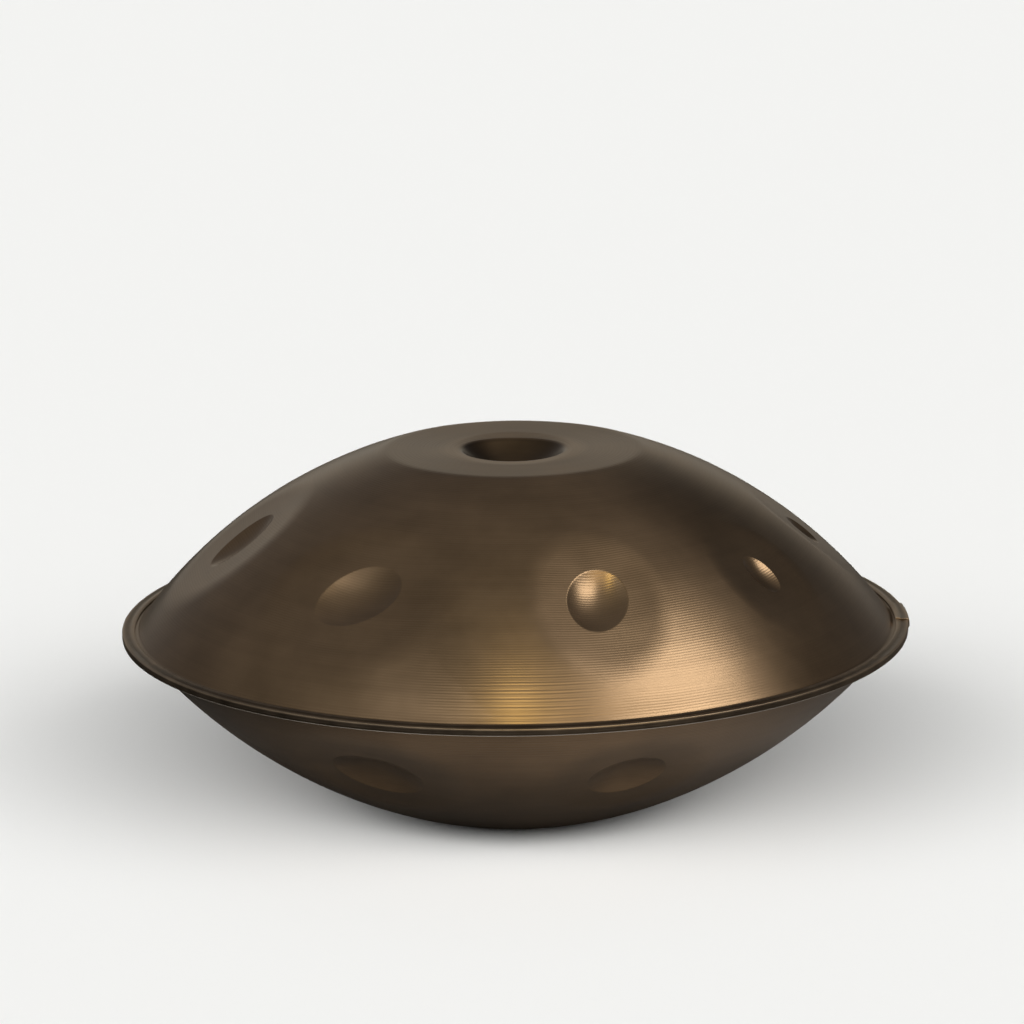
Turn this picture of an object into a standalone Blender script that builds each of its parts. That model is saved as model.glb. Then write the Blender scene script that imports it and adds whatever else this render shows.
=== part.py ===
"""Handpan: two formed steel shells bonded face to face at a flat flange, the flange edged with a folded metal trim."""

import math
from collections import namedtuple

import bmesh
import bpy
from mathutils import Vector
from mathutils.geometry import delaunay_2d_cdt

MM = 0.001

# Sheet and seam
SHEET = 1.1 * MM
SEAM_HEIGHT = 124.0 * MM  # bonding plane above the surface it stands on
FLANGE_INNER = 0.55 * MM  # inner face of each flange, from the bonding plane
FLANGE_OUTER = FLANGE_INNER + SHEET
FLANGE_RADIUS = 262.6 * MM
WALL_RADIUS = 254.0 * MM  # where the dome would meet the flange
DOME_EDGE = 251.0 * MM  # the dome ends and the flange bend starts
SPRING = 2.0 * MM  # the dome curve starts this far from the bonding plane
ROUND = 72  # divisions of every full circle

# Ding side
TOP_RISE = 131.4 * MM
TOP_SLACK = 0.042  # how much shallower than a true cap the middle of this shell runs
DING_PLANE = 120.6 * MM  # height of the flat round the ding, from the bonding plane
LIP_HALF_WIDTH = 39.5 * MM  # shallow oval lip round the ding
LIP_HALF_LENGTH = 49.0 * MM  # front to back
LIP_DEPTH = 2.2 * MM
DING_RADIUS = 34.8 * MM  # round dish inside the lip
DING_DEPTH = 15.0 * MM  # below the lip

# Port side
BOTTOM_RISE = 131.0 * MM
BOTTOM_SLACK = 0.112
FOOT_PLANE = SEAM_HEIGHT  # depth of the flat ring round the port, from the bonding plane
FOOT_INNER_RADIUS = 56.0 * MM
PORT_RADIUS = 48.2 * MM
NECK_TOP = 96.0 * MM  # inner end of the port neck, from the bonding plane

# Each note, in degrees and millimetres: bearing (0 at the front, growing to the right), distance of
# its middle from the axis, tone field half-lengths along and across the slope, dimple half-lengths
# the same way, turn of the dimple on the slope, dimple depth.
Note = namedtuple("Note", "bearing ring along across deep_along deep_across turned depth")
TOP_NOTES = (
    Note(-31.8, 192.0, 55.0, 61.0, 30.0, 23.0, -54.0, 5.4),
    Note(15.6, 194.5, 54.0, 42.5, 22.5, 19.5, 0.0, 5.6),
    Note(55.3, 196.5, 46.0, 36.0, 16.0, 11.5, 0.0, 3.2),
    Note(91.5, 196.0, 46.0, 31.0, 14.0, 12.5, 0.0, 3.2),
    Note(135.0, 194.0, 50.0, 40.0, 18.0, 15.0, 0.0, 3.8),
    Note(-172.0, 193.0, 54.0, 46.0, 23.0, 19.0, 0.0, 4.4),
    Note(-127.0, 190.0, 56.0, 50.0, 26.0, 21.0, 0.0, 4.8),
    Note(-81.0, 186.0, 57.0, 53.0, 27.0, 20.0, 0.0, 5.0),
)
BOTTOM_NOTES = (
    Note(-26.8, 199.0, 54.0, 60.0, 29.0, 31.0, 0.0, 5.6),
    Note(20.6, 201.0, 52.0, 52.0, 27.0, 26.0, 0.0, 5.2),
)
FIELD_FLATTENING = 1.05  # 1 makes a tone field exactly flat across its edge

# Seam fillers and trim
GAP = 0.3 * MM
FLANGE_ADHESIVE_HALF = FLANGE_INNER - GAP
TRIM_RADIUS = 265.0 * MM
TRIM_WEB = 0.65 * MM
TRIM_ARM_INNER = FLANGE_OUTER + GAP
TRIM_LIP = 256.4 * MM
TRIM_JOINT_BEARING = 91.0
TRIM_JOINT_GAP = 0.4 * MM
# Upper half of the trim's outer face, from the middle of the web round to the inner lip
TRIM_FACE = (
    (265.0, 1.20),
    (264.7, 2.15),
    (263.7, 2.65),
    (262.4, 2.55),
    (260.9, 2.40),
    (259.6, 2.65),
    (258.4, 3.05),
    (257.2, 3.00),
    (256.4, 2.50),
)
SLEEVE_START = 86.6
SLEEVE_END = 95.6
SLEEVE_STEPS = 6
SLEEVE_THICKNESS = 0.7 * MM


def clear_scene():
    for item in list(bpy.data.objects):
        bpy.data.objects.remove(item, do_unlink=True)


def finish_material(name, colour, metallic, roughness):
    material = bpy.data.materials.new(name)
    material.use_nodes = True
    shader = material.node_tree.nodes["Principled BSDF"]
    shader.inputs["Base Color"].default_value = (*colour, 1.0)
    shader.inputs["Metallic"].default_value = metallic
    shader.inputs["Roughness"].default_value = roughness
    return material


def add_body(name, points, faces, material):
    """One closed body from points and faces, its faces turned outward."""
    mesh = bpy.data.meshes.new(name)
    mesh.from_pydata(points, [], faces)
    mesh.validate()
    form = bmesh.new()
    form.from_mesh(mesh)
    bmesh.ops.recalc_face_normals(form, faces=form.faces)
    form.to_mesh(mesh)
    form.free()
    mesh.materials.append(material)
    mesh.shade_smooth()
    mesh.set_sharp_from_angle(angle=math.radians(28.0))
    body = bpy.data.objects.new(name, mesh)
    bpy.context.scene.collection.objects.link(body)
    return body


def on_circle(radius, bearing):
    """Plan position at a bearing in degrees from the front."""
    turn = math.radians(bearing)
    return radius * math.sin(turn), -radius * math.cos(turn)


def cap_radius(rise):
    return (WALL_RADIUS**2 + rise**2) / (2 * rise)


class Shell:
    """The outer face of one shell, as heights away from the bonding plane."""

    def __init__(self, rise, slack, flat_plane, notes):
        self.rise = rise
        self.ball = cap_radius(rise)
        self.slack = slack
        self.flat_plane = flat_plane
        self.notes = notes
        self.flat_radius = self.radius_at(flat_plane)

    def plain_height(self, radius):
        share = (radius / WALL_RADIUS) ** 2
        cap = math.sqrt(self.ball**2 - radius**2) - (self.ball - self.rise)
        return SPRING + cap - self.slack * self.rise * share * (1 - share)

    def radius_at(self, height):
        """Where the plain dome stands at a height, found by halving."""
        low = 0.0
        high = WALL_RADIUS
        for _ in range(60):
            middle = (low + high) / 2
            if self.plain_height(middle) > height:
                low = middle
            else:
                high = middle
        return low

    def steepness(self, note):
        """Cosine of the dome's slope at a note."""
        return math.sqrt(1 - (note.ring * MM / self.ball) ** 2)

    def note_reach(self, note, x, y, along, across, turned=0.0):
        """How far a plan point lies from a note's middle, 1 being on an ellipse round it."""
        turn = math.radians(note.bearing)
        outward = x * math.sin(turn) - y * math.cos(turn)
        u = (outward - note.ring * MM) / self.steepness(note)
        w = x * math.cos(turn) + y * math.sin(turn)
        turn = math.radians(turned)
        a = u * math.cos(turn) + w * math.sin(turn)
        b = w * math.cos(turn) - u * math.sin(turn)
        return math.hypot(a / (along * MM), b / (across * MM))

    def hammered_in(self, x, y):
        """Depth of the tone fields and dimples at a plan point."""
        depth = 0.0
        for note in self.notes:
            field = self.note_reach(note, x, y, note.along, note.across)
            if field < 1:
                flat = note.along * note.across * MM * MM / (2 * self.ball)
                depth += FIELD_FLATTENING * flat * (1 - field**2)
            dimple = self.note_reach(note, x, y, note.deep_along, note.deep_across, note.turned)
            if dimple < 1:
                depth += note.depth * MM * (1 - dimple**2)
        return depth

    def middle_depth(self, x, y):
        return 0.0

    def point(self, x, y):
        radius = math.hypot(x, y)
        depth = self.hammered_in(x, y)
        slope = math.asin(min(radius / self.ball, 1.0))
        height = self.plain_height(radius)
        if radius < self.flat_radius:
            height = min(height, self.flat_plane)
        height -= self.middle_depth(x, y)
        pull = 1.0 if radius == 0 else 1 - depth * math.sin(slope) / radius
        return Vector((x * pull, y * pull, height - depth * math.cos(slope)))

    def normal(self, x, y):
        step = 0.4 * MM
        along_x = self.point(x + step, y) - self.point(x - step, y)
        along_y = self.point(x, y + step) - self.point(x, y - step)
        return along_x.cross(along_y).normalized()


class DingShell(Shell):
    def middle_depth(self, x, y):
        lip = 1 - (x / LIP_HALF_WIDTH) ** 2 - (y / LIP_HALF_LENGTH) ** 2
        dish = 1 - (x * x + y * y) / DING_RADIUS**2
        return LIP_DEPTH * max(lip, 0.0) + DING_DEPTH * max(dish, 0.0)


def circle_loop(radius, count, offset=0.0):
    return [on_circle(radius, 360.0 * (k + offset) / count) for k in range(count)]


def note_loop(shell, note, along, across, turned, count):
    turn = math.radians(note.bearing)
    tilt = math.radians(turned)
    loop = []
    for k in range(count):
        angle = 2 * math.pi * k / count
        a = along * MM * math.cos(angle)
        b = across * MM * math.sin(angle)
        u = a * math.cos(tilt) - b * math.sin(tilt)
        sideways = a * math.sin(tilt) + b * math.cos(tilt)
        outward = note.ring * MM + u * shell.steepness(note)
        x = outward * math.sin(turn) + sideways * math.cos(turn)
        y = -outward * math.cos(turn) + sideways * math.sin(turn)
        loop.append((x, y))
    return loop


def note_loops(shell, note):
    """Outlines that carry a note: field edge, field middle, dimple edge, and rings down the dimple."""
    loops = [note_loop(shell, note, note.along, note.across, 0.0, 22)]
    middle_along = (note.along + max(note.deep_along, note.deep_across)) / 2
    middle_across = (note.across + max(note.deep_along, note.deep_across)) / 2
    loops.append(note_loop(shell, note, middle_along, middle_across, 0.0, 16))
    for share, count in ((1.0, 20), (0.66, 12), (0.33, 6)):
        along = note.deep_along * share
        across = note.deep_across * share
        loops.append(note_loop(shell, note, along, across, note.turned, count))
    return loops


def clear_of_notes(shell, x, y):
    for note in shell.notes:
        if shell.note_reach(note, x, y, note.along + 6.0, note.across + 6.0) < 1:
            return False
    return True


def plan_net(shell, rings, middle_loops, with_centre):
    """Triangles in plan whose edges follow every ring, field and dimple outline."""
    points = []
    edges = []

    def add_loop(loop):
        first = len(points)
        points.extend(Vector(p) for p in loop)
        edges.extend((first + k, first + (k + 1) % len(loop)) for k in range(len(loop)))

    add_loop(circle_loop(DOME_EDGE, ROUND))
    for loop in middle_loops:
        add_loop(loop)
    for note in shell.notes:
        for loop in note_loops(shell, note):
            add_loop(loop)
        points.append(Vector(on_circle(note.ring * MM, note.bearing)))
    for radius, count, offset in rings:
        for x, y in circle_loop(radius, count, offset):
            if clear_of_notes(shell, x, y):
                points.append(Vector((x, y)))
    if with_centre:
        points.append(Vector((0.0, 0.0)))
    found, _, faces, sources, _, _ = delaunay_2d_cdt(points, edges, [], 0, 1e-7)
    place = {}
    for k, source in enumerate(sources):
        for original in source:
            place[original] = k
    return found, faces, place


def strip(first, second):
    """Quads between two rings of the same length."""
    count = len(first)
    return [
        (first[k], first[(k + 1) % count], second[(k + 1) % count], second[k])
        for k in range(count)
    ]


def ring_section(points, faces, start, end, section, count):
    """A band of quads that follows a radial section from one ring of points to another."""
    previous = start
    for radius, height in section:
        ring = []
        for k in range(count):
            x, y = on_circle(radius * MM, 360.0 * k / count)
            ring.append(len(points))
            points.append(Vector((x, y, height * MM)))
        faces.extend(strip(previous, ring))
        previous = ring
    faces.extend(strip(previous, end))


def flange_section():
    """Flange bend and flange, from the outer face of the dome round to the inner face."""
    outer = FLANGE_OUTER / MM
    inner = FLANGE_INNER / MM
    edge = FLANGE_RADIUS / MM
    return (
        (252.7, 3.85),
        (253.7, 2.65),
        (255.0, 1.85),
        (256.3, outer),
        (edge, outer),
        (edge, inner),
        (255.8, inner),
        (254.1, 0.85),
        (252.8, 1.85),
        (251.8, 3.20),
    )


def port_section():
    """Rolled port mouth and neck, from the outer face of the foot round to the inner face."""
    port = PORT_RADIUS / MM
    sheet = SHEET / MM
    foot = FOOT_PLANE / MM
    neck = NECK_TOP / MM
    mouth = ((53.0, foot - 0.6), (50.5, foot - 2.4), (48.8, foot - 5.6))
    outside = mouth + ((port, foot - 10.5), (port, neck))
    inside = ((port + sheet, neck), (port + sheet, foot - 10.6), (49.9, foot - 6.1))
    back = ((51.4, foot - 3.2), (53.4, foot - 1.7))
    return outside + inside + back


def formed_shell(name, shell, facing, rings, middle_loops, hole_count, material):
    """A sheet shell: formed outer face, inner face one sheet below it, flange, and port if it has one."""
    net, triangles, place = plan_net(shell, rings, middle_loops, hole_count == 0)
    if hole_count:
        limit = FOOT_INNER_RADIUS - 1e-6
        kept = []
        for face in triangles:
            middle = sum((net[k] for k in face), Vector((0.0, 0.0))) / len(face)
            if middle.length > limit:
                kept.append(face)
        triangles = kept
    outer = [shell.point(p.x, p.y) for p in net]
    points = list(outer)
    for p, top in zip(net, outer):
        points.append(top - SHEET * shell.normal(p.x, p.y))
    shift = len(net)
    faces = [tuple(face) for face in triangles]
    faces += [tuple(k + shift for k in reversed(face)) for face in triangles]
    rim = [place[k] for k in range(ROUND)]
    ring_section(points, faces, rim, [k + shift for k in rim], flange_section(), ROUND)
    if hole_count:
        mouth = [place[ROUND + k] for k in range(hole_count)]
        ring_section(points, faces, mouth, [k + shift for k in mouth], port_section(), hole_count)
    placed = [(p.x, p.y, SEAM_HEIGHT + facing * p.z) for p in points]
    return add_body(name, placed, faces, material)


def top_shell():
    shell = DingShell(TOP_RISE, TOP_SLACK, DING_PLANE, TOP_NOTES)
    lip = [(x * LIP_HALF_WIDTH, y * LIP_HALF_LENGTH) for x, y in circle_loop(1.0, 36)]
    middle = [circle_loop(shell.flat_radius, 40), lip]
    for share, count in ((1.0, 32), (0.84, 28), (0.66, 24), (0.46, 16), (0.24, 8)):
        middle.append(circle_loop(DING_RADIUS * share, count))
    rings = (
        (244.0 * MM, 48, 0.5),
        (225.0 * MM, 48, 0.0),
        (203.0 * MM, 42, 0.5),
        (180.0 * MM, 42, 0.0),
        (156.0 * MM, 36, 0.5),
        (133.0 * MM, 36, 0.0),
        (109.0 * MM, 32, 0.5),
        (65.0 * MM, 28, 0.5),
    )
    material = finish_material("ding_side_steel", (0.19, 0.14, 0.085), 1.0, 0.34)
    formed_shell("top_shell", shell, 1.0, rings, middle, 0, material)


def bottom_shell():
    shell = Shell(BOTTOM_RISE, BOTTOM_SLACK, FOOT_PLANE, BOTTOM_NOTES)
    mouth_count = 32
    middle = [circle_loop(FOOT_INNER_RADIUS, mouth_count), circle_loop(shell.flat_radius, 36)]
    rings = (
        (242.0 * MM, 48, 0.5),
        (222.0 * MM, 42, 0.0),
        (198.0 * MM, 38, 0.5),
        (172.0 * MM, 34, 0.0),
        (146.0 * MM, 30, 0.5),
        (120.0 * MM, 28, 0.0),
        (94.0 * MM, 28, 0.5),
    )
    material = finish_material("port_side_steel", (0.17, 0.12, 0.075), 1.0, 0.36)
    formed_shell("bottom_shell", shell, -1.0, rings, middle, mouth_count, material)


def plain_ring(name, inner, outer, half_height, material):
    """A full ring of rectangular section, centred on the bonding plane."""
    points = []
    rings = []
    for radius, side in ((inner, -1), (outer, -1), (outer, 1), (inner, 1)):
        ring = []
        for k in range(ROUND):
            x, y = on_circle(radius, 360.0 * k / ROUND)
            ring.append(len(points))
            points.append((x, y, SEAM_HEIGHT + side * half_height))
        rings.append(ring)
    faces = []
    for k in range(4):
        faces.extend(strip(rings[k], rings[(k + 1) % 4]))
    add_body(name, points, faces, material)


def flange_adhesive():
    """The bead that bonds the two flanges."""
    material = finish_material("flange_bond", (0.05, 0.045, 0.04), 0.0, 0.45)
    plain_ring("flange_adhesive", 256.3 * MM, 262.3 * MM, FLANGE_ADHESIVE_HALF, material)


def trim_adhesive():
    """The bedding between the flange edges and the web of the trim."""
    material = finish_material("trim_bond", (0.07, 0.06, 0.05), 0.0, 0.5)
    inner = FLANGE_RADIUS + GAP
    outer = TRIM_RADIUS - TRIM_WEB - GAP
    plain_ring("trim_adhesive", inner, outer, 1.6 * MM, material)


def swept_channel(name, outline, bearings, material):
    """A closed radial outline carried along an arc and capped at both ends."""
    points = []
    rings = []
    for bearing in bearings:
        ring = []
        for radius, height in outline:
            x, y = on_circle(radius, bearing)
            ring.append(len(points))
            points.append((x, y, SEAM_HEIGHT + height))
        rings.append(ring)
    faces = [tuple(reversed(rings[0])), tuple(rings[-1])]
    for first, second in zip(rings, rings[1:]):
        faces.extend(strip(first, second))
    add_body(name, points, faces, material)


def trim_outline():
    """Channel section of the trim: web outside the flange edges, two beaded arms over the flanges."""
    upper = [(radius * MM, height * MM) for radius, height in TRIM_FACE]
    lower = [(radius, -height) for radius, height in upper]
    web = TRIM_RADIUS - TRIM_WEB
    inside = [
        (TRIM_LIP, TRIM_ARM_INNER),
        (web, TRIM_ARM_INNER),
        (web, -TRIM_ARM_INNER),
        (TRIM_LIP, -TRIM_ARM_INNER),
    ]
    return upper + inside + list(reversed(lower))


def rim_trim():
    """Folded trim, bent round the flange with its two ends butted under the sleeve."""
    half_gap = math.degrees(TRIM_JOINT_GAP / 2 / TRIM_RADIUS)
    first = TRIM_JOINT_BEARING + half_gap
    last = TRIM_JOINT_BEARING - half_gap + 360.0
    step = 360.0 / ROUND
    between = [k * step for k in range(2 * ROUND) if first + 0.5 < k * step < last - 0.5]
    material = finish_material("trim_metal", (0.24, 0.18, 0.12), 1.0, 0.3)
    swept_channel("rim_trim", trim_outline(), [first] + between + [last], material)


def grown_face(distance):
    """The trim's outer face, moved outward by a distance."""
    line = [Vector((radius * MM, height * MM)) for radius, height in TRIM_FACE]
    line = [Vector((p.x, -p.y)) for p in reversed(line)] + line
    grown = []
    for k, p in enumerate(line):
        before = line[max(k - 1, 0)]
        after = line[min(k + 1, len(line) - 1)]
        along = (after - before).normalized()
        grown.append(p + distance * Vector((along.y, -along.x)))
    return grown


def trim_joint_sleeve():
    """Short cover folded over the butted ends of the trim."""
    inner = grown_face(GAP)[1:-1]
    outer = grown_face(GAP + SLEEVE_THICKNESS)[1:-1]
    outline = [(p.x, p.y) for p in inner] + [(p.x, p.y) for p in reversed(outer)]
    span = SLEEVE_END - SLEEVE_START
    bearings = [SLEEVE_START + span * k / SLEEVE_STEPS for k in range(SLEEVE_STEPS + 1)]
    material = finish_material("sleeve_metal", (0.28, 0.21, 0.13), 1.0, 0.28)
    swept_channel("trim_joint_sleeve", outline, bearings, material)


clear_scene()
top_shell()
bottom_shell()
flange_adhesive()
trim_adhesive()
rim_trim()
trim_joint_sleeve()
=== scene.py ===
"""Handpan: two formed steel shells, bonded at their flanges and edged with a folded trim."""

from collections import namedtuple
import math

import bpy
import numpy as np
from mathutils import Matrix, Quaternion, Vector
from mathutils.geometry import delaunay_2d_cdt


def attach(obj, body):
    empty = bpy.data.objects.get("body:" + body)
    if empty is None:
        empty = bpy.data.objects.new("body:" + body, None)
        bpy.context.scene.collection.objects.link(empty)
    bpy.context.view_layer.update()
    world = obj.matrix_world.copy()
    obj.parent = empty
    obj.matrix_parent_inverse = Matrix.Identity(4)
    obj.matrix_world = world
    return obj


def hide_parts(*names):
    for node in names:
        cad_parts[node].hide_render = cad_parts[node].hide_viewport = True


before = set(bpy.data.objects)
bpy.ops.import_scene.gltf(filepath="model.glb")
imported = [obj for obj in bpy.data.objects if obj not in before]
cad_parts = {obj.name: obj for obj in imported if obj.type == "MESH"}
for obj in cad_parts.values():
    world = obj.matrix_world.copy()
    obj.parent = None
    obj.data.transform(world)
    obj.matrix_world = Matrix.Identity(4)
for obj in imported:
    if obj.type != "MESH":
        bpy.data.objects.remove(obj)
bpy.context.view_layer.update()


# ---------------------------------------------------------------------------------------------
# LOWER SHELL
# The port side: one sheet of steel sunk into a shallow bowl, with a port rolled inward at the
# bottom, a flat ring round it to stand on, two large notes towards the player, and a flange.
# ---------------------------------------------------------------------------------------------
MM = 0.001
SHEET = 1.1 * MM
SEAM = 124.0 * MM  # height of the bonding plane
WALL = 254.0 * MM  # radius where the dome meets its flange
DOME_EDGE = 251.0 * MM
SPRING = 2.0 * MM
FLANGE_IN = 0.55 * MM
FLANGE_OUT = FLANGE_IN + SHEET
FLANGE_EDGE = 262.6 * MM
AROUND = 360  # divisions of a full circle

# A note hammered into a dome. Degrees: its bearing from the front, and how far the dimple is
# turned on the slope. Millimetres: the ring its middle lies on, the half-lengths of its field and
# of its dimple down the slope and across it, and the depth of the dimple.
Note = namedtuple("Note", "bearing ring along across deep_along deep_across turned depth")
LOWER_NOTES = (
    Note(-26.8, 199.0, 54.0, 60.0, 29.0, 31.0, 0.0, 5.6),
    Note(20.6, 201.0, 52.0, 52.0, 27.0, 26.0, 0.0, 5.2),
)
LOWER = {
    "rise": 131.0 * MM,
    "slack": 0.112,
    "flat": 124.0 * MM,
    "flat_edge": 0.5 * MM,
    "notes": LOWER_NOTES,
}
PORT_MOUTH = 56.0 * MM  # where the foot starts to roll inward
PORT = 48.2 * MM
NECK_TOP = 96.0 * MM  # from the bonding plane


def ball_of(form):
    """Radius of the ball that a plain dome is part of."""
    return (WALL**2 + form["rise"] ** 2) / (2 * form["rise"])


def soft_over(value, width):
    """A value kept where it is above zero and eased to nothing below, over a narrow band."""
    ease = np.clip(width - np.abs(value), 0.0, None)
    return np.maximum(value, 0.0) + ease**2 / (4 * width)


def levelness(form, note):
    """Cosine of the dome's slope at a note."""
    return math.sqrt(1 - (note.ring * MM / ball_of(form)) ** 2)


def note_reach(form, note, x, y, along, across, turned=0.0):
    """Distance from a note's middle, 1 being on an ellipse round it."""
    turn = math.radians(note.bearing)
    tilt = math.radians(turned)
    u = (x * math.sin(turn) - y * math.cos(turn) - note.ring * MM) / levelness(form, note)
    w = x * math.cos(turn) + y * math.sin(turn)
    a = u * math.cos(tilt) + w * math.sin(tilt)
    b = w * math.cos(tilt) - u * math.sin(tilt)
    return np.hypot(a / (along * MM), b / (across * MM))


FIELD_HOLLOW = 1.05  # 1 is a field hammered quite flat, more is a little hollow
FIELD_EASE = 0.30
DIMPLE_EASE = 0.05


def hammered_in(form, x, y):
    """How far tone fields and dimples are driven in below the plain dome."""
    depth = np.zeros_like(x)
    for note in form["notes"]:
        flat = note.along * note.across * MM * MM / (2 * ball_of(form))
        field = 1 - note_reach(form, note, x, y, note.along, note.across) ** 2
        depth += FIELD_HOLLOW * flat * soft_over(field, FIELD_EASE)
        reach = note_reach(form, note, x, y, note.deep_along, note.deep_across, note.turned)
        depth += note.depth * MM * soft_over(1 - reach**2, DIMPLE_EASE)
    return depth


WAVER_HEIGHT = 0.018 * MM
WAVER_FADE = 30 * MM  # it dies away over this distance before the flange


def hand_waver(form, x, y):
    """The slight unevenness that hammering leaves in a dome: seven crossing waves."""
    waver = np.zeros_like(x)
    for k in range(7):
        turn = form["phase"] + 2.4 * k
        length = (52.0 + 17.0 * k) * MM
        reach = x * math.cos(turn) + y * math.sin(turn)
        waver += np.sin(2 * math.pi * reach / length + 1.3 * k)
    fade = np.clip((WALL - np.hypot(x, y)) / WAVER_FADE, 0.0, 1.0)
    return WAVER_HEIGHT * waver * fade


DING_EASE = 0.10


def formed(form, x, y):
    """Outer face of a shell over plan points, with height measured from the bonding plane."""
    radius = np.hypot(x, y)
    ball = ball_of(form)
    share = (radius / WALL) ** 2
    height = np.sqrt(ball**2 - radius**2) - (ball - form["rise"])
    height = SPRING + height - form["slack"] * form["rise"] * share * (1 - share)
    height = form["flat"] - soft_over(form["flat"] - height, form["flat_edge"])
    if "lip" in form:
        width, length, sunk = form["lip"]
        lip = 1 - (x / width) ** 2 - (y / length) ** 2
        height = height - sunk * soft_over(lip, DING_EASE)
        dish = 1 - (radius / form["dish"]) ** 2
        height = height - form["dish_depth"] * soft_over(dish, DING_EASE)
    depth = hammered_in(form, x, y)
    if "lip" in form:
        depth = depth + hand_waver(form, x, y)
    steep = radius / ball
    level = np.sqrt(1 - steep**2)
    pull = 1 - depth * steep / np.maximum(radius, 1e-9)
    return np.stack([x * pull, y * pull, height - depth * level], axis=-1)


def formed_normal(form, x, y):
    """Which way the outer face looks, from the lie of the metal close by."""
    step = 0.15 * MM
    along_x = formed(form, x + step, y) - formed(form, x - step, y)
    along_y = formed(form, x, y + step) - formed(form, x, y - step)
    normal = np.cross(along_x, along_y)
    return normal / np.linalg.norm(normal, axis=-1, keepdims=True)


def circle(radius, count, turned=0.0):
    """Points round the axis from the front, turned by a share of one division."""
    angle = 2 * math.pi * (np.arange(count) + turned) / count
    return np.stack([radius * np.sin(angle), -radius * np.cos(angle)], axis=-1)


def note_outline(form, note, along, across, turned, count):
    """An oval in plan round a note's middle."""
    turn = math.radians(note.bearing)
    tilt = math.radians(turned)
    angle = 2 * math.pi * np.arange(count) / count
    a = along * MM * np.cos(angle)
    b = across * MM * np.sin(angle)
    outward = note.ring * MM + (a * math.cos(tilt) - b * math.sin(tilt)) * levelness(form, note)
    sideways = a * math.sin(tilt) + b * math.cos(tilt)
    x = outward * math.sin(turn) + sideways * math.cos(turn)
    y = -outward * math.cos(turn) + sideways * math.sin(turn)
    return np.stack([x, y], axis=-1)


FIELD_SHARES = (1.15, 1.11, 1.08, 1.05, 1.02, 0.99, 0.96, 0.93, 0.90, 0.87, 0.84, 0.80)
DIMPLE_SHARES = ((1.10, 84), (1.04, 96), (1.022, 96), (1.008, 96), (0.994, 96), (0.978, 96))
DIMPLE_SHARES += ((0.94, 96), (0.87, 84), (0.81, 72), (0.74, 60), (0.66, 54), (0.57, 48))
DIMPLE_SHARES += ((0.47, 36), (0.36, 28), (0.24, 18), (0.12, 9))
DIMPLE_MARGIN = 3.0  # millimetres left round a dimple before the flat of its field


def note_outlines(form, note):
    """Closed outlines over one note, close together where the metal bends sharply."""
    outlines = []
    for share in FIELD_SHARES:
        outline = note_outline(form, note, note.along * share, note.across * share, 0.0, 96)
        outlines.append(outline)
    clear = max(note.deep_along, note.deep_across) + DIMPLE_MARGIN
    for share in (0.75, 0.5, 0.25):
        a = clear + (FIELD_SHARES[-1] * note.along - clear) * share
        b = clear + (FIELD_SHARES[-1] * note.across - clear) * share
        outlines.append(note_outline(form, note, a, b, 0.0, 84))
    for share, count in DIMPLE_SHARES:
        a, b = note.deep_along * share, note.deep_across * share
        outlines.append(note_outline(form, note, a, b, note.turned, count))
    return outlines


NOTE_GAP = 2.2  # millimetres between a note's outermost outline and the plain circles


def plan_net(form, plain_rings, middle_rings, centre):
    """Triangles in plan that follow every circle and outline of the formed shell."""
    points = []
    edges = []

    def lay(outline):
        first = len(points)
        count = len(outline)
        points.extend(Vector(p) for p in outline)
        edges.extend((first + k, first + (k + 1) % count) for k in range(count))

    lay(circle(DOME_EDGE, AROUND))
    for width, length, count in middle_rings:
        lay(circle(1.0, count) * np.array([width, length]))
    for note in form["notes"]:
        for outline in note_outlines(form, note):
            lay(outline)
        points.append(Vector(note_outline(form, note, 0.0, 0.0, 0.0, 1)[0]))
    for k, (radius, count) in enumerate(plain_rings):
        ring = circle(radius, count, 0.5 * (k % 2))
        keep = np.ones(count, dtype=bool)
        for note in form["notes"]:
            along = note.along * FIELD_SHARES[0] + NOTE_GAP
            across = note.across * FIELD_SHARES[0] + NOTE_GAP
            reach = note_reach(form, note, ring[:, 0], ring[:, 1], along, across)
            keep &= reach > 1
        points.extend(Vector(p) for p in ring[keep])
    if centre:
        points.append(Vector((0.0, 0.0)))
    found, _, faces, sources, _, _ = delaunay_2d_cdt(points, edges, [], 0, 1e-8)
    place = {}
    for k, source in enumerate(sources):
        for original in source:
            place[original] = k
    return np.array([tuple(p) for p in found]), faces, place


def strip(first, second):
    """Faces between two rings of points."""
    count = len(first)
    return [
        (first[k], first[(k + 1) % count], second[(k + 1) % count], second[k])
        for k in range(count)
    ]


def turned_band(points, faces, start, end, section, count):
    """A band that follows a turned section from one ring of points to another."""
    previous = start
    for radius, height in section:
        ring = list(range(len(points), len(points) + count))
        points.extend((x, y, height) for x, y in circle(radius, count))
        faces.extend(strip(previous, ring))
        previous = ring
    faces.extend(strip(previous, end))


def rounded(corners, steps):
    """A line of (x, y, bend radius) corners with each bend rounded off."""
    line = []
    for k, (x, y, bend) in enumerate(corners):
        here = Vector((x, y))
        if bend == 0 or k in (0, len(corners) - 1):
            line.append((x, y))
            continue
        before = (Vector(corners[k - 1][:2]) - here).normalized()
        after = (Vector(corners[k + 1][:2]) - here).normalized()
        half = before.angle(after) / 2
        back = bend / math.tan(half)
        middle = here + (before + after).normalized() * (bend / math.sin(half))
        a = here + before * back - middle
        b = here + after * back - middle
        sweep = a.angle_signed(b)
        for j in range(steps + 1):
            turn = -sweep * j / steps
            c, s = math.cos(turn), math.sin(turn)
            p = middle + Vector((a.x * c - a.y * s, a.x * s + a.y * c))
            line.append((p.x, p.y))
    return line


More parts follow.
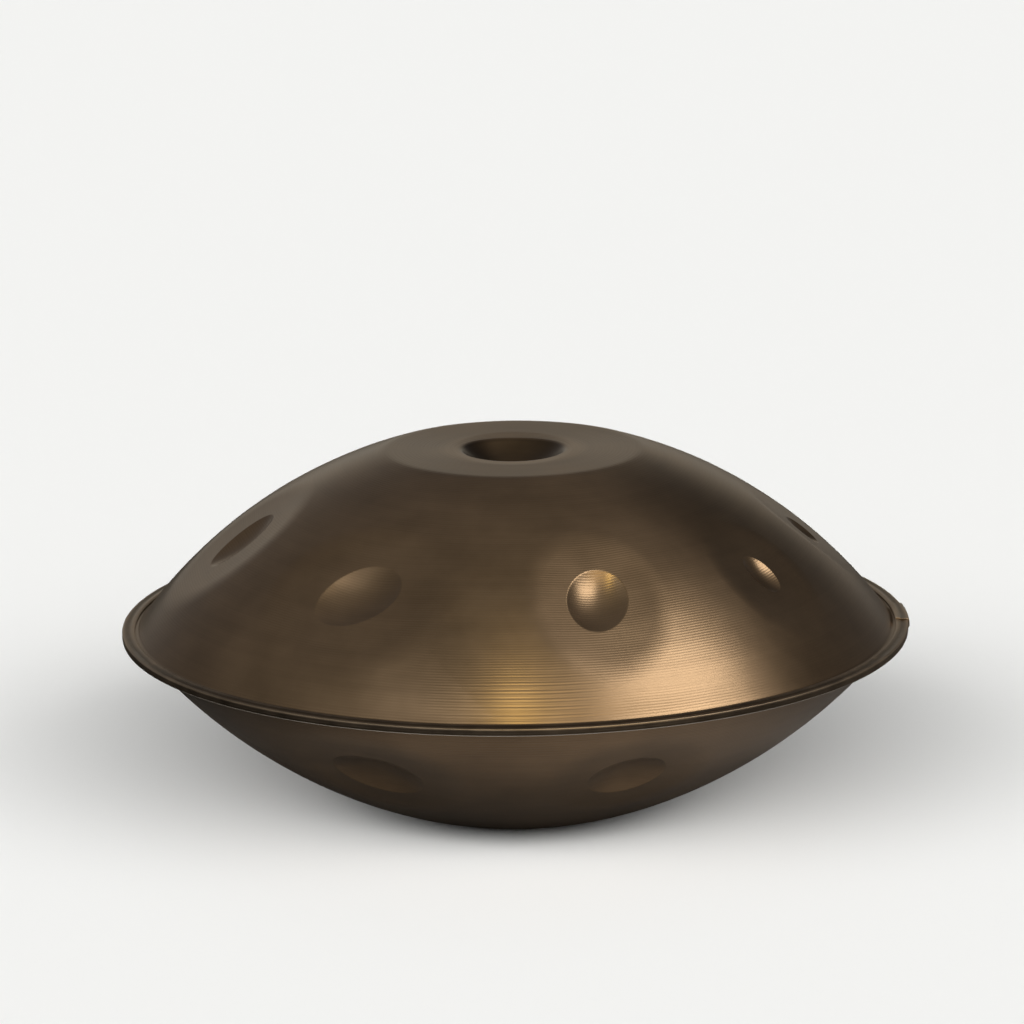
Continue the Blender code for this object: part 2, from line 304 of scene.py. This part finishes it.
def flange_section(form):
    """From the dome's outer face round the flange bend and edge, and back to its inner face."""
    edge = np.array([DOME_EDGE]), np.array([0.0])
    out = formed(form, *edge)[0]
    out_slope = formed(form, edge[0] - 1 * MM, edge[1])[0] - out
    fall = -out_slope[2] / out_slope[0]
    inner = out - SHEET * formed_normal(form, *edge)[0]
    reach_out = (out[2] - FLANGE_OUT) / fall
    reach_in = (inner[2] - FLANGE_IN) / fall
    outer_side = rounded(
        (
            (out[0], out[2], 0.0),
            (out[0] + reach_out, FLANGE_OUT, 2.2 * MM),
            (FLANGE_EDGE, FLANGE_OUT, 0.18 * MM),
            (FLANGE_EDGE, 0.0, 0.0),
        ),
        6,
    )
    inner_side = rounded(
        (
            (FLANGE_EDGE, 0.0, 0.0),
            (FLANGE_EDGE, FLANGE_IN, 0.18 * MM),
            (inner[0] + reach_in, FLANGE_IN, 3.2 * MM),
            (inner[0], inner[2], 0.0),
        ),
        6,
    )
    return outer_side[1:-1] + inner_side[1:-1]


def port_section(form):
    """From the foot's outer face round the rolled mouth, up the neck and back to its inner face."""
    foot = form["flat"]
    outer_side = rounded(
        (
            (PORT_MOUTH, foot, 0.0),
            (PORT, foot, 7.2 * MM),
            (PORT, NECK_TOP, 0.5 * MM),
            (PORT + SHEET / 2, NECK_TOP, 0.0),
        ),
        14,
    )
    inner_side = rounded(
        (
            (PORT + SHEET / 2, NECK_TOP, 0.0),
            (PORT + SHEET, NECK_TOP, 0.5 * MM),
            (PORT + SHEET, foot - SHEET, 6.1 * MM),
            (PORT_MOUTH, foot - SHEET, 0.0),
        ),
        14,
    )
    return outer_side[1:-1] + inner_side[1:-1]


def formed_shell(name, form, side, plain_rings, middle_rings):
    """Both faces of the formed sheet, its flange and its port, as one closed mesh.

    Side is 1 for the shell above the bonding plane and -1 for the one below, which has the port.
    """
    ported = side < 0
    net, triangles, place = plan_net(form, plain_rings, middle_rings, not ported)
    if ported:
        middles = np.array([net[list(face)].mean(axis=0) for face in triangles])
        outside = np.hypot(middles[:, 0], middles[:, 1]) > PORT_MOUTH
        triangles = [face for face, keep in zip(triangles, outside) if keep]
        used = sorted({k for face in triangles for k in face})
        renumber = {old: new for new, old in enumerate(used)}
        triangles = [tuple(renumber[k] for k in face) for face in triangles]
        place = {source: renumber[k] for source, k in place.items() if k in renumber}
        net = net[used]
    outer = formed(form, net[:, 0], net[:, 1])
    normal = formed_normal(form, net[:, 0], net[:, 1])
    inner = outer - SHEET * normal
    points = [tuple(p) for p in outer] + [tuple(p) for p in inner]
    shift = len(net)
    faces = [tuple(face) for face in triangles]
    faces += [tuple(k + shift for k in reversed(face)) for face in triangles]
    rim = [place[k] for k in range(AROUND)]
    band = []
    turned_band(points, band, rim, [k + shift for k in rim], flange_section(form), AROUND)
    faces += [tuple(reversed(face)) for face in band]
    if ported:
        band = []
        count = middle_rings[0][2]
        mouth = [place[AROUND + k] for k in range(count)]
        turned_band(points, band, mouth, [k + shift for k in mouth], port_section(form), count)
        faces += band
    placed = np.array(points)
    placed[:, 2] = SEAM + side * placed[:, 2]
    if side < 0:
        faces = [tuple(reversed(face)) for face in faces]
    mesh = bpy.data.meshes.new(name)
    mesh.from_pydata([tuple(p) for p in placed], [], faces)
    mesh.shade_smooth()
    mesh.set_sharp_from_angle(angle=math.radians(50))
    smooth = np.array([v.vector[:] for v in mesh.vertex_normals])
    formed_out = normal * np.array([1.0, 1.0, side])
    smooth[:shift] = formed_out
    smooth[shift : 2 * shift] = -formed_out
    mesh.normals_split_custom_set_from_vertices([tuple(n) for n in smooth])
    piece = bpy.data.objects.new(name, mesh)
    bpy.context.scene.collection.objects.link(piece)
    return piece


def graded(first, last, step):
    """Circles from one radius to another, with divisions that keep the cells near square."""
    radii = np.linspace(first, last, max(2, round(abs(last - first) / step)))
    return [(radius, max(24, round(2 * math.pi * radius / (step * 1.1)))) for radius in radii]


lower_rings = graded(248.0 * MM, 75.0 * MM, 5.0 * MM)
lower_middle = [
    (radius * MM, radius * MM, count)
    for radius, count in ((56.0, 180), (59.0, 120), (64.0, 96), (69.0, 120), (71.5, 120))
]
lower_piece = formed_shell("lower_shell", LOWER, -1.0, lower_rings, lower_middle)


class Mix:
    """Nodes being joined up, with short ways to do it."""

    def __init__(self, tree):
        self.nodes = tree.nodes
        self.links = tree.links

    def put(self, kind, **settings):
        node = self.nodes.new(kind)
        for key, value in settings.items():
            setattr(node, key, value)
        return node

    def join(self, source, target):
        self.links.new(source, target)

    def sum(self, operation, first, second=None, third=None):
        node = self.put("ShaderNodeMath", operation=operation)
        for socket, value in zip(node.inputs, (first, second, third)):
            if value is None:
                continue
            if isinstance(value, (int, float)):
                socket.default_value = value
            else:
                self.join(value, socket)
        return node.outputs[0]

    def times(self, first, second):
        return self.sum("MULTIPLY", first, second)

    def plus(self, first, *rest):
        for value in rest:
            first = self.sum("ADD", first, value)
        return first

    def grain(self, vector, scale, detail, roughness=0.5):
        node = self.put("ShaderNodeTexNoise")
        node.inputs["Scale"].default_value = scale
        node.inputs["Detail"].default_value = detail
        node.inputs["Roughness"].default_value = roughness
        self.join(vector, node.inputs["Vector"])
        return node.outputs["Fac"]

    def ramp(self, value, *stops):
        node = self.put("ShaderNodeValToRGB")
        ramp = node.color_ramp
        while len(ramp.elements) < len(stops):
            ramp.elements.new(0.5)
        for element, (place, colour) in zip(ramp.elements, stops):
            element.position = place
            element.color = (*colour, 1.0)
        self.join(value, node.inputs["Fac"])
        return node.outputs["Color"]

    def range(self, value, low, high, to_low, to_high):
        node = self.put("ShaderNodeMapRange")
        for socket, number in zip(node.inputs[1:5], (low, high, to_low, to_high)):
            socket.default_value = number
        self.join(value, node.inputs[0])
        return node.outputs[0]

    def blend(self, kind, amount, first, second):
        node = self.put("ShaderNodeMix", data_type="RGBA", blend_type=kind)
        factor, one, other = (node.inputs[k] for k in (0, 6, 7))  # this node's colour sockets
        for socket, value in ((factor, amount), (one, first), (other, second)):
            if isinstance(value, (int, float)):
                socket.default_value = value
            elif isinstance(value, tuple):
                socket.default_value = (*value, 1.0)
            else:
                self.join(value, socket)
        return node.outputs[2]

    def colour(self, *parts):
        """A colour from its red, green and blue, or a grey from one value."""
        node = self.put("ShaderNodeCombineColor")
        for socket, part in zip(node.inputs[:3], parts if len(parts) == 3 else 3 * parts):
            self.join(part, socket)
        return node.outputs[0]


class Finish(Mix):
    """One material being mixed."""

    def __init__(self, name):
        self.material = bpy.data.materials.new(name)
        self.material.use_nodes = True
        super().__init__(self.material.node_tree)
        self.shader = self.nodes["Principled BSDF"]

    def brushed(self, amount, turned):
        """Gloss drawn out by brushing round the axis."""
        self.shader.inputs["Anisotropic"].default_value = amount
        self.shader.inputs["Anisotropic Rotation"].default_value = turned
        tangent = self.put("ShaderNodeTangent", direction_type="RADIAL", axis="Z")
        self.join(tangent.outputs[0], self.shader.inputs["Tangent"])

    def relief(self, height, strength, distance):
        """Marks too fine to be modelled."""
        node = self.put("ShaderNodeBump")
        node.inputs["Strength"].default_value = strength
        node.inputs["Distance"].default_value = distance
        self.join(height, node.inputs["Height"])
        self.join(node.outputs[0], self.shader.inputs["Normal"])


def brushed_round(finish, fall):
    """Places along the brushing: rings round the axis, spaced by distance down the slope."""
    place = finish.put("ShaderNodeTexCoord").outputs["Object"]
    split = finish.put("ShaderNodeSeparateXYZ")
    finish.join(place, split.inputs[0])
    x, y, z = split.outputs
    radius = finish.sum("SQRT", finish.plus(finish.times(x, x), finish.times(y, y)))
    slope = finish.plus(radius, finish.times(z, fall))
    return place, x, y, radius, slope


def brush_lines(finish, x, y, radius, slope, pitch, length, detail):
    """Long scratches round the axis, a pitch apart and fading in and out over a length."""
    around = finish.put("ShaderNodeCombineXYZ")
    safe = finish.sum("MAXIMUM", radius, 4 * MM)  # keeps the middle from dividing by nothing
    finish.join(finish.sum("DIVIDE", slope, pitch), around.inputs[0])
    finish.join(finish.times(finish.sum("DIVIDE", x, safe), length), around.inputs[1])
    finish.join(finish.times(finish.sum("DIVIDE", y, safe), length), around.inputs[2])
    return finish.grain(around.outputs[0], 1.0, detail)


def turned_marks(finish, slope, pitch):
    """Even ridges round the axis, a pitch apart down the slope."""
    return finish.sum("SINE", finish.times(slope, 2 * math.pi / pitch))


def bronzed_steel(name, fall):
    """Heat-coloured steel, dark bronze, turned and brushed round the axis and wiped by hand."""
    finish = Finish(name)
    shader = finish.shader
    place, x, y, radius, slope = brushed_round(finish, fall)
    scratches = brush_lines(finish, x, y, radius, slope, 0.9 * MM, 1.4, 0.0)
    bands = brush_lines(finish, x, y, radius, slope, 12.0 * MM, 1.6, 1.0)
    cloud = finish.grain(place, 11.0, 4.0, 0.55)
    patch = finish.grain(place, 26.0, 3.0, 0.5)

    # colour: a random heat-coloured mottle; painted shade darkens the ding's dish within 34 mm of
    # the axis, and a painted sheen lightens the ring 36 to 52 mm out, the ding's lip
    heat = finish.ramp(cloud, (0.15, (0.175, 0.116, 0.066)), (0.85, (0.275, 0.188, 0.114)))
    shade = finish.times(
        finish.range(scratches, 0.0, 1.0, 0.94, 1.06),
        finish.range(bands, 0.0, 1.0, 0.90, 1.10),
    )
    shade = finish.times(shade, finish.range(patch, 0.0, 1.0, 0.80, 1.20))
    # painted shade: darker inside the ding's dish
    shade = finish.times(shade, finish.range(radius, 34.0 * MM, 35.8 * MM, 0.42, 1.0))
    # painted sheen: lighter on a ring round the ding's lip
    painted_light = finish.times(
        finish.range(radius, 35.8 * MM, 38.0 * MM, 0.0, 0.30),
        finish.range(radius, 52.0 * MM, 44.0 * MM, 0.0, 1.0),
    )
    shade = finish.times(shade, finish.plus(painted_light, 1.0))
    colour = finish.blend("MULTIPLY", 1.0, heat, finish.colour(shade))
    finish.join(colour, shader.inputs["Base Color"])

    # gloss
    shader.inputs["Metallic"].default_value = 1.0
    gloss = finish.plus(
        finish.range(cloud, 0.0, 1.0, 0.27, 0.37),
        finish.range(patch, 0.0, 1.0, -0.02, 0.02),
    )
    finish.join(gloss, shader.inputs["Roughness"])
    finish.brushed(0.4, 0.25)

    # relief: turned ripples that wander a little, and coarser marks low down at the front
    wander = finish.times(finish.grain(place, 14.0, 1.0), 4.0 * MM)
    ripples = turned_marks(finish, finish.plus(slope, wander), 2.6 * MM)
    low_down = finish.range(radius, 228.0 * MM, 240.0 * MM, 0.0, 1.0)
    off_middle = finish.sum("ABSOLUTE", finish.sum("SUBTRACT", x, 3.0 * MM))
    in_front = finish.range(off_middle, 60.0 * MM, 25.0 * MM, 0.0, 1.0)
    coarse = finish.times(turned_marks(finish, slope, 4.0 * MM), low_down)
    coarse = finish.times(coarse, in_front)
    height = finish.plus(
        finish.times(scratches, 0.3),
        finish.times(cloud, 6.0),
        finish.times(ripples, 1.7),
        finish.times(coarse, 2.6),
    )
    finish.relief(height, 1.0, 0.01 * MM)
    return finish.material


lower_piece.data.materials.append(bronzed_steel("lower_shell_steel", 1.0))
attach(lower_piece, "root")
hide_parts("bottom_shell")


# ---------------------------------------------------------------------------------------------
# FLANGE ADHESIVE
# The thin ring of cured adhesive that holds the two flanges together, hidden between them.
# ---------------------------------------------------------------------------------------------
def cured_adhesive(name, colour):
    finish = Finish(name)
    place = finish.put("ShaderNodeTexCoord").outputs["Object"]
    cloud = finish.grain(place, 160.0, 4.0, 0.6)
    dark = tuple(0.7 * c for c in colour)
    light = tuple(1.3 * c for c in colour)
    finish.join(finish.ramp(cloud, (0.3, dark), (0.7, light)), finish.shader.inputs["Base Color"])
    finish.join(finish.range(cloud, 0.3, 0.7, 0.35, 0.55), finish.shader.inputs["Roughness"])
    finish.relief(cloud, 1.0, 0.1 * MM)
    return finish.material


def refinish(node, material):
    """Give a piece that is kept as it stands in the frame its real material."""
    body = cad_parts[node]
    body.data.materials.clear()
    body.data.materials.append(material)


refinish("flange_adhesive", cured_adhesive("cured_flange_adhesive", (0.050, 0.042, 0.034)))


# ---------------------------------------------------------------------------------------------
# UPPER SHELL
# The playing side: the same sheet steel, with a dimpled ding in a flat at the crown and eight
# notes round it, each a flattened oval field with a dimple driven in at its middle.
# ---------------------------------------------------------------------------------------------
UPPER_NOTES = (
    Note(-31.8, 192.0, 55.0, 61.0, 30.0, 23.0, -54.0, 5.4),
    Note(15.9, 192.0, 54.0, 42.5, 25.4, 19.7, -24.0, 5.6),
    Note(55.3, 196.5, 46.0, 36.0, 16.0, 11.5, 0.0, 3.2),
    Note(91.5, 196.0, 46.0, 31.0, 14.0, 12.5, 0.0, 3.2),
    Note(135.0, 194.0, 50.0, 40.0, 18.0, 15.0, 0.0, 3.8),
    Note(-172.0, 193.0, 54.0, 46.0, 23.0, 19.0, 0.0, 4.4),
    Note(-127.0, 190.0, 56.0, 50.0, 26.0, 21.0, 0.0, 4.8),
    Note(-81.0, 186.0, 57.0, 53.0, 27.0, 20.0, 0.0, 5.0),
)
LIP = (39.5 * MM, 49.0 * MM, 2.2 * MM)  # half-width, half-length front to back, depth
DISH = 34.8 * MM  # radius of the round dish inside the lip
UPPER = {
    "rise": 131.4 * MM,
    "slack": 0.042,
    "flat": 120.6 * MM,
    "flat_edge": 0.8 * MM,
    "notes": UPPER_NOTES,
    "phase": 0.4,
    "lip": LIP,
    "dish": DISH,
    "dish_depth": 15.0 * MM,
}
lip_shares = (1.12, 1.07, 1.035, 1.01, 0.985)
upper_middle = [(LIP[0] * share, LIP[1] * share, 120) for share in lip_shares]
dish_shares = [(share, 120) for share in (1.07, 1.045, 1.02, 1.0, 0.98, 0.96, 0.93, 0.88, 0.82)]
dish_shares += [(0.74, 96), (0.65, 80), (0.55, 64), (0.45, 48), (0.34, 36), (0.22, 24), (0.11, 12)]
upper_middle += [(DISH * share, DISH * share, count) for share, count in dish_shares]
upper_rings = graded(248.0 * MM, 94.0 * MM, 5.0 * MM) + graded(91.0 * MM, 79.0 * MM, 2.2 * MM)
upper_rings += graded(75.0 * MM, 58.0 * MM, 4.5 * MM)
upper_piece = formed_shell("upper_shell", UPPER, 1.0, upper_rings, upper_middle)
upper_piece.data.materials.append(bronzed_steel("upper_shell_steel", -1.0))
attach(upper_piece, "root")
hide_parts("top_shell")


# ---------------------------------------------------------------------------------------------
# TRIM ADHESIVE
# Bedding run round the edges of the two flanges before the trim is pushed on, out of sight.
# ---------------------------------------------------------------------------------------------
refinish("trim_adhesive", cured_adhesive("cured_trim_adhesive", (0.065, 0.056, 0.046)))


# ---------------------------------------------------------------------------------------------
# RIM TRIM
# A strip of the same steel folded to a channel over the flange edges. Each arm has a round bead
# at its lip and a shallow groove outside it; the two ends butt together on the right.
# ---------------------------------------------------------------------------------------------
# radii, and heights from the bonding plane, in millimetres
TRIM_WEB = 264.35
TRIM_ARM = 1.95
TRIM_LIP = 256.4
TRIM_GROOVE = 261.2
TRIM_FALL = 0.6  # share of height that counts in the spacing of its brush lines
JOINT = 91.0  # bearing of the butt joint in degrees
JOINT_HALF = 0.043  # half of the gap at the joint
TRIM_FACE = (
    (265.0, 0.0),
    (265.0, 1.20),
    (264.7, 2.15),
    (263.7, 2.65),
    (262.4, 2.55),
    (260.9, 2.40),
    (259.6, 2.65),
    (258.4, 3.05),
    (257.2, 3.00),
    (256.4, 2.50),
)


def eased_line(points, steps):
    """A smooth line through every point, at even steps between them."""
    line = []
    count = len(points)
    for k in range(count - 1):
        a, b, c, d = (Vector(points[min(max(k + j, 0), count - 1)]) for j in (-1, 0, 1, 2))
        for j in range(steps):
            t = j / steps
            bend = (2 * a - 5 * b + 4 * c - d) * t * t + (3 * b - a - 3 * c + d) * t**3
            line.append(b + 0.5 * ((c - a) * t + bend))
    line.append(Vector(points[-1]))
    return line


def whole_face(steps):
    """The trim's outer face from its lower lip round the web to its upper lip."""
    upper = eased_line(TRIM_FACE, steps)
    return [Vector((p.x, -p.y)) for p in reversed(upper[1:])] + upper


def swept(name, outline, bearings):
    """A closed radial outline carried round the axis, with both ends closed."""
    outline = np.array([tuple(p) for p in outline]) * MM
    points = []
    for bearing in bearings:
        turn = math.radians(bearing)
        for radius, height in outline:
            points.append((radius * math.sin(turn), -radius * math.cos(turn), SEAM + height))
    count = len(outline)
    faces = [tuple(reversed(range(count)))]
    for k in range(len(bearings) - 1):
        first = list(range(k * count, (k + 1) * count))
        faces += [tuple(face) for face in strip(first, [j + count for j in first])]
    faces.append(tuple(range(len(points) - count, len(points))))
    mesh = bpy.data.meshes.new(name)
    mesh.from_pydata(points, [], faces)
    mesh.shade_smooth()
    mesh.set_sharp_from_angle(angle=math.radians(40))
    piece = bpy.data.objects.new(name, mesh)
    bpy.context.scene.collection.objects.link(piece)
    return piece


def turned_right_out(piece):
    """Flip a mesh whose faces point inward."""
    mesh = piece.data
    volume = 0.0
    for face in mesh.polygons:
        volume += face.center.dot(face.normal) * face.area
    if volume < 0:
        mesh.flip_normals()


trim_inside = [(TRIM_LIP, TRIM_ARM), (TRIM_WEB, TRIM_ARM)]
trim_inside += [(TRIM_WEB, -TRIM_ARM), (TRIM_LIP, -TRIM_ARM)]
trim_bearings = np.linspace(JOINT + JOINT_HALF, JOINT + 360.0 - JOINT_HALF, AROUND + 1)
trim_piece = swept("rim_trim_strip", whole_face(5) + trim_inside, trim_bearings)
turned_right_out(trim_piece)


def trim_bronze_with_painted_light(name, bright):
    """The trim's bronze: painted sheen on its beads and edges, painted shade in its groove and
    towards the player, over a random mottle.
    """
    finish = Finish(name)
    shader = finish.shader
    place, x, y, radius, slope = brushed_round(finish, TRIM_FALL)
    fine = brush_lines(finish, x, y, radius, slope, 0.30 * MM, 7.0, 2.0)
    coarse = brush_lines(finish, x, y, radius, slope, 1.1 * MM, 5.0, 3.0)
    patch = finish.grain(place, 60.0, 5.0, 0.6)

    # colour: painted sheen away from the groove, painted shade in the groove and towards the
    # player, with a random mottle
    off_groove = finish.sum("ABSOLUTE", finish.sum("SUBTRACT", radius, TRIM_GROOVE * MM))
    painted_light = finish.plus(
        finish.range(off_groove, 0.6 * MM, 3.4 * MM, 0.0, 1.0),
        finish.range(patch, 0.3, 0.7, -0.22, 0.22),
    )
    dark = tuple(bright * part for part in (0.150, 0.108, 0.070))
    light = tuple(bright * part for part in (0.33, 0.25, 0.175))
    base = finish.ramp(painted_light, (0.1, dark), (0.95, light))
    # painted shade: the colour darkens towards the player, to about half at the front
    shade = finish.times(
        finish.range(coarse, 0.3, 0.7, 0.90, 1.10),
        finish.range(y, -220.0 * MM, -20.0 * MM, 0.52, 1.0),
    )
    base = finish.blend("MULTIPLY", 1.0, base, finish.colour(shade))

    # the lower outer edge, made pale and less metallic: a painted highlight along it
    z = finish.sum("DIVIDE", finish.sum("SUBTRACT", slope, radius), TRIM_FALL)
    edge = finish.times(
        finish.range(z, SEAM - 1.8 * MM, SEAM - 2.4 * MM, 0.0, 1.0),
        finish.range(radius, 263.2 * MM, 264.0 * MM, 0.0, 1.0),
    )
    colour = finish.blend("MIX", edge, base, (0.42, 0.38, 0.33))
    finish.join(colour, shader.inputs["Base Color"])
    finish.join(finish.range(edge, 0.0, 1.0, 1.0, 0.25), shader.inputs["Metallic"])
    finish.join(finish.range(patch, 0.3, 0.7, 0.30, 0.42), shader.inputs["Roughness"])
    finish.brushed(0.4, 0.0)
    finish.relief(finish.plus(fine, finish.times(patch, 1.5)), 0.4, 0.08 * MM)
    return finish.material


trim_piece.data.materials.append(trim_bronze_with_painted_light("trim_bronze_painted_light", 1.0))
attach(trim_piece, "root")
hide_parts("rim_trim")


# ---------------------------------------------------------------------------------------------
# TRIM JOINT SLEEVE
# A short cover folded over the butted ends of the trim, its cut ends filed round; it wears the
# trim's bronze with the same painted sheen and shade, made a little lighter.
# ---------------------------------------------------------------------------------------------
SLEEVE_GAP = 0.3  # millimetres off the trim's face
SLEEVE_SHEET = 0.7
SLEEVE_BEARINGS = (86.6, 95.6)  # its two ends in degrees


def grown(line, distance):
    """A line moved outward by a distance."""
    moved = []
    for k, p in enumerate(line):
        along = (line[min(k + 1, len(line) - 1)] - line[max(k - 1, 0)]).normalized()
        moved.append(p + distance * Vector((along.y, -along.x)))
    return moved


face_line = whole_face(5)[3:-3]  # the sleeve stops short of the trim's lips
sleeve_outline = grown(face_line, SLEEVE_GAP)
sleeve_outline += reversed(grown(face_line, SLEEVE_GAP + SLEEVE_SHEET))
sleeve_piece = swept("trim_joint_cover", sleeve_outline, np.linspace(*SLEEVE_BEARINGS, 25))
turned_right_out(sleeve_piece)
filed = sleeve_piece.modifiers.new("filed_edges", "BEVEL")
filed.width = 0.16 * MM
filed.segments = 3
filed.limit_method = "ANGLE"
filed.angle_limit = math.radians(50)
sleeve_piece.data.materials.append(trim_bronze_with_painted_light("sleeve_bronze_painted_light", 1.15))
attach(sleeve_piece, "root")
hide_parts("trim_joint_sleeve")


# ---------------------------------------------------------------------------------------------
# STUDIO
# A pale floor, soft lamps and the camera.
# ---------------------------------------------------------------------------------------------
floor_mesh = bpy.data.meshes.new("studio_floor")
far = 12.0  # the floor's edges lie well outside the view
floor_corners = [(-far, -far, 0), (far, -far, 0), (far, far, 0), (-far, far, 0)]
floor_mesh.from_pydata(floor_corners, [], [(0, 1, 2, 3)])
floor = bpy.data.objects.new("studio_floor", floor_mesh)
bpy.context.scene.collection.objects.link(floor)

# pale to the eye; in the metal's reflections alone the floor carries painted light and shade: a
# painted contact shadow under the instrument, a painted soft ring of light round it, and painted
# shadow darker towards the left
pale = Finish("pale_floor")
floor_place = pale.put("ShaderNodeTexCoord").outputs["Object"]
split = pale.put("ShaderNodeSeparateXYZ")
pale.join(floor_place, split.inputs[0])
out = pale.put("ShaderNodeVectorMath", operation="LENGTH")
pale.join(floor_place, out.inputs[0])
painted_side_shadow = pale.ramp(
    pale.range(split.outputs[0], -0.32, 0.32, 0.0, 1.0),
    (0.05, (0.16, 0.16, 0.16)),
    (0.20, (0.30, 0.30, 0.30)),
    (0.36, (0.78, 0.78, 0.78)),
    (0.74, (1.0, 1.0, 1.0)),
    (0.90, (0.50, 0.50, 0.50)),
)
outward = pale.ramp(
    pale.range(out.outputs["Value"], 0.0, 0.5, 0.0, 1.0),
    (0.20, (0.06, 0.058, 0.055)),
    (0.34, (0.14, 0.135, 0.13)),
    (0.44, (0.44, 0.42, 0.40)),
    (0.56, (0.46, 0.44, 0.42)),
    (0.66, (0.20, 0.19, 0.18)),
    (0.80, (0.12, 0.115, 0.11)),
)
mirrored = pale.blend("MULTIPLY", 1.0, outward, painted_side_shadow)
by_metal = pale.put("ShaderNodeLightPath").outputs["Is Glossy Ray"]
floor_tone = pale.blend("MIX", by_metal, (0.88, 0.88, 0.872), mirrored)
pale.join(floor_tone, pale.shader.inputs["Base Color"])
pale.shader.inputs["Roughness"].default_value = 0.9
pale.shader.inputs["Specular IOR Level"].default_value = 0.0
floor_mesh.materials.append(pale.material)


def lamp(name, direction, distance, size, lean, power, colour):
    """An oval softbox aimed at the shells, which lights their metal and not the floor."""
    light = bpy.data.lights.new(name, "AREA")
    light.shape = "ELLIPSE"
    light.size, light.size_y = size
    light.energy = power
    light.color = colour
    holder = bpy.data.objects.new(name, light)
    target = Vector((0.0, 0.0, 0.16))
    holder.location = target + distance * Vector(direction).normalized()
    level_turn = (target - holder.location).to_track_quat("-Z", "Y")
    leaning = Quaternion((0, 0, 1), math.radians(lean))
    holder.rotation_euler = (level_turn @ leaning).to_euler()
    holder.visible_diffuse = False
    bpy.context.scene.collection.objects.link(holder)


lamp("key_lamp", (0.600, -0.290, 0.745), 1.8, (1.16, 0.46), -32.0, 9.6, (1.0, 0.96, 0.90))
lamp("streak_lamp", (0.00, -0.68, 0.73), 1.6, (0.10, 0.05), 0.0, 1.5, (1.0, 0.82, 0.28))

world = bpy.data.worlds.new("studio_air")
bpy.context.scene.world = world
world.use_nodes = True
air = Mix(world.node_tree)
split = air.put("ShaderNodeSeparateXYZ")
air.join(air.put("ShaderNodeTexCoord").outputs["Generated"], split.inputs[0])
east, north, up = split.outputs


def facing(direction, far, near):
    """How squarely a direction looks at a place in the studio, 1 from near inward."""
    aim = Vector(direction).normalized()
    squarely = air.plus(air.times(east, aim.x), air.times(north, aim.y), air.times(up, aim.z))
    return air.range(squarely, far, near, 0.0, 1.0)


# what the metal mirrors: a dim room, darker behind, beside and low in front, with a warm wall low
# at the back and a warm glow in front of the player
room = air.plus(
    air.range(up, 0.55, 1.0, 0.205, 0.25),
    air.times(facing((0.174, 0.820, 0.545), 0.84, 0.96), -0.075),
    air.times(facing((0.710, 0.596, 0.375), 0.76, 0.95), -0.075),
    air.times(air.range(up, 0.45, 0.20, 0.0, 1.0), air.range(north, -0.2, -0.7, 0.0, -0.16)),
)
wall = air.times(air.range(up, 0.42, 0.27, 0.0, 1.0), air.range(north, 0.84, 0.95, 0.0, 0.24))
glow = air.sum("POWER", facing((0.33, -0.81, 0.49), 0.83, 0.99), 1.6)
room_shares = (1.0, 0.98, air.range(north, -0.6, 0.5, 0.84, 0.98))
parts = []
for room_share, wall_share, glow_share in zip(room_shares, (1.0, 0.92, 0.70), (1.9, 1.50, 0.80)):
    part = air.plus(
        air.times(room, room_share),
        air.times(wall, wall_share),
        air.times(glow, glow_share),
    )
    parts.append(part)
mirrored = air.colour(*parts)

# what lights the floor: a faint sky and a broad soft light at middle height in front
middle_height = air.times(
    air.range(up, 0.74, 0.56, 0.0, 1.0),
    air.range(up, 0.24, 0.46, 0.0, 1.0),
)
sky = air.plus(air.times(middle_height, air.range(north, -0.20, -0.70, 0.0, 9.8)), 0.10)
pale_sky = air.colour(*(air.times(sky, share) for share in (1.0, 1.0, 0.99)))
by_metal = air.put("ShaderNodeLightPath").outputs["Is Glossy Ray"]
air.join(air.blend("MIX", by_metal, pale_sky, mirrored), air.nodes["Background"].inputs["Color"])

camera_data = bpy.data.cameras.new("camera")
camera_data.lens = 151.58
camera_data.sensor_width = 36.0
camera_distance = 2.9
camera = bpy.data.objects.new("camera", camera_data)
bpy.context.scene.collection.objects.link(camera)
pitch = math.radians(13.547)  # above level
tilt = math.radians(-0.627)
aim = Vector((-0.0013, 0.0, SEAM + 0.0764))
toward = Vector((0.0, -math.cos(pitch), math.sin(pitch)))
right = Vector((1.0, 0.0, 0.0))
up = toward.cross(right)
tilted_right = math.cos(tilt) * right + math.sin(tilt) * up
tilted_up = -math.sin(tilt) * right + math.cos(tilt) * up
turn = Matrix((tilted_right, tilted_up, toward)).transposed().to_4x4()
camera.matrix_world = Matrix.Translation(aim + camera_distance * toward) @ turn
bpy.context.scene.camera = camera
bpy.context.scene.view_settings.view_transform = "Standard"
